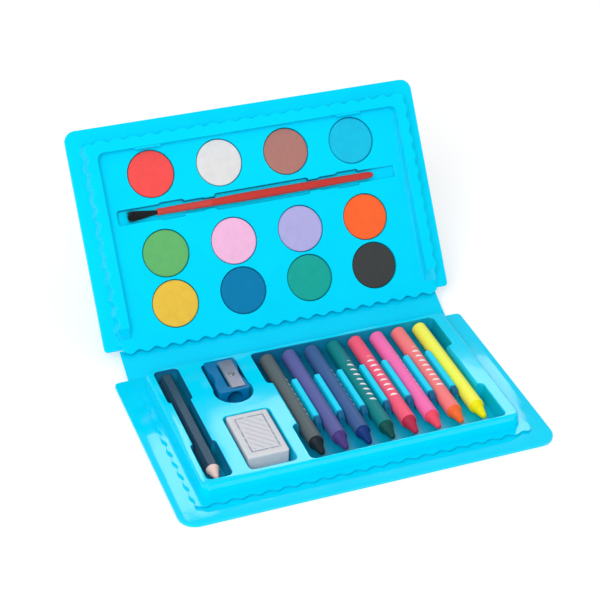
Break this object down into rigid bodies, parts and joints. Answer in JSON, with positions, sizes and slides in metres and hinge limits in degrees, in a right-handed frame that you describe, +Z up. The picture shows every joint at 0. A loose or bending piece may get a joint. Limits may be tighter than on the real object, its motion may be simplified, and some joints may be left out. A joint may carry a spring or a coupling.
{
  "type": "folding art case",
  "caption": "Thin folding art case, open on a spine with two folds: formed trays hold round paint cakes and a brush in the lid, crayons, pencil, sharpener and eraser in the base.",
  "frame": {"origin": "middle of the flat underside of the base, on the surface it lies on", "axes": "+X across the case to the right, +Y from the front edge to the fold, +Z up out of the base"},
  "size_m": [0.2, 0.2055, 0.1074],
  "materials": {
    "case_sheet": "gloss formed sheet",
    "case_cover": "gloss",
    "spine_sheet": "gloss",
    "brush_red_plastic": "gloss",
    "brush_ferrule_plastic": "gloss",
    "brush_bristle": "satin",
    "pencil_lacquer": "gloss lacquer",
    "pencil_bare_wood": "sharpened",
    "pencil_core": "matte",
    "sharpener_blue": "gloss",
    "blade_steel": "ground",
    "screw_steel": "satin",
    "eraser_white": "matte",
    "paint_red": "matte pressed cake",
    "paint_white": "matte pressed cake",
    "paint_brown": "matte pressed cake",
    "paint_sky": "matte pressed cake",
    "paint_green": "matte pressed cake",
    "paint_pink": "matte pressed cake",
    "paint_lilac": "matte pressed cake",
    "paint_orange": "matte pressed cake",
    "paint_yellow": "matte pressed cake",
    "paint_blue": "matte pressed cake",
    "paint_teal": "matte pressed cake",
    "paint_black": "matte pressed cake",
    "wax_grey": "satin wax",
    "wrapper_grey": "matte",
    "wax_purple": "satin wax",
    "wrapper_purple": "matte",
    "wax_blue": "satin wax",
    "wrapper_blue": "matte",
    "wax_green": "satin wax",
    "wrapper_green": "matte",
    "wax_red": "satin wax",
    "wrapper_red": "matte",
    "wax_pink": "satin wax",
    "wrapper_pink": "matte",
    "wax_orange": "satin wax",
    "wrapper_orange": "matte",
    "wax_yellow": "satin wax",
    "wrapper_yellow": "matte"
  },
  "bodies": {
    "base": {"base_panel": "case_cover", "base_tray": "case_sheet"},
    "spine": {"spine_strip": "spine_sheet"},
    "lid": {"lid_panel": "case_cover", "lid_tray": "case_sheet", "paint_red": "paint_red", "paint_white": "paint_white", "paint_brown": "paint_brown", "paint_sky": "paint_sky", "paint_green": "paint_green", "paint_pink": "paint_pink", "paint_lilac": "paint_lilac", "paint_orange": "paint_orange", "paint_yellow": "paint_yellow", "paint_blue": "paint_blue", "paint_teal": "paint_teal", "paint_black": "paint_black"},
    "brush": {"brush_handle": "brush_red_plastic", "brush_ferrule": "brush_ferrule_plastic", "brush_bristles": "brush_bristle"},
    "pencil": {"pencil_barrel": "pencil_lacquer", "pencil_wood": "pencil_bare_wood", "pencil_lead": "pencil_core"},
    "sharpener": {"sharpener_body": "sharpener_blue", "sharpener_blade": "blade_steel", "sharpener_screw": "screw_steel"},
    "eraser": {"eraser_block": "eraser_white"},
    "crayon_grey": {"crayon_grey_stick": "wax_grey", "crayon_grey_wrapper": "wrapper_grey"},
    "crayon_purple": {"crayon_purple_stick": "wax_purple", "crayon_purple_wrapper": "wrapper_purple"},
    "crayon_blue": {"crayon_blue_stick": "wax_blue", "crayon_blue_wrapper": "wrapper_blue"},
    "crayon_green": {"crayon_green_stick": "wax_green", "crayon_green_wrapper": "wrapper_green"},
    "crayon_red": {"crayon_red_stick": "wax_red", "crayon_red_wrapper": "wrapper_red"},
    "crayon_pink": {"crayon_pink_stick": "wax_pink", "crayon_pink_wrapper": "wrapper_pink"},
    "crayon_orange": {"crayon_orange_stick": "wax_orange", "crayon_orange_wrapper": "wrapper_orange"},
    "crayon_yellow": {"crayon_yellow_stick": "wax_yellow", "crayon_yellow_wrapper": "wrapper_yellow"}
  },
  "joints": [
    {"name": "spine_fold", "type": "hinge", "parent": "base", "child": "spine", "pos_m": [0, 0.0604, 0.0006], "axis": [-1, 0, 0], "range_deg": [-64, 26]},
    {"name": "lid_fold", "type": "hinge", "parent": "spine", "child": "lid", "pos_m": [0, 0.07658, 0.00849], "axis": [-1, 0, 0], "range_deg": [-61.1, 28.9]},
    {"name": "brush_lift", "type": "slide", "parent": "lid", "child": "brush", "axis": [0, -0.8181, 0.575], "range_m": [0, 0.025]},
    {"name": "pencil_lift", "type": "slide", "parent": "base", "child": "pencil", "axis": [0, 0, 1], "range_m": [0, 0.03]},
    {"name": "sharpener_lift", "type": "slide", "parent": "base", "child": "sharpener", "axis": [0, 0, 1], "range_m": [0, 0.03]},
    {"name": "eraser_lift", "type": "slide", "parent": "base", "child": "eraser", "axis": [0, 0, 1], "range_m": [0, 0.03]},
    {"name": "crayon_grey_lift", "type": "slide", "parent": "base", "child": "crayon_grey", "axis": [0, 0, 1], "range_m": [0, 0.03]},
    {"name": "crayon_purple_lift", "type": "slide", "parent": "base", "child": "crayon_purple", "axis": [0, 0, 1], "range_m": [0, 0.03]},
    {"name": "crayon_blue_lift", "type": "slide", "parent": "base", "child": "crayon_blue", "axis": [0, 0, 1], "range_m": [0, 0.03]},
    {"name": "crayon_green_lift", "type": "slide", "parent": "base", "child": "crayon_green", "axis": [0, 0, 1], "range_m": [0, 0.03]},
    {"name": "crayon_red_lift", "type": "slide", "parent": "base", "child": "crayon_red", "axis": [0, 0, 1], "range_m": [0, 0.03]},
    {"name": "crayon_pink_lift", "type": "slide", "parent": "base", "child": "crayon_pink", "axis": [0, 0, 1], "range_m": [0, 0.03]},
    {"name": "crayon_orange_lift", "type": "slide", "parent": "base", "child": "crayon_orange", "axis": [0, 0, 1], "range_m": [0, 0.03]},
    {"name": "crayon_yellow_lift", "type": "slide", "parent": "base", "child": "crayon_yellow", "axis": [0, 0, 1], "range_m": [0, 0.03]}
  ]
}
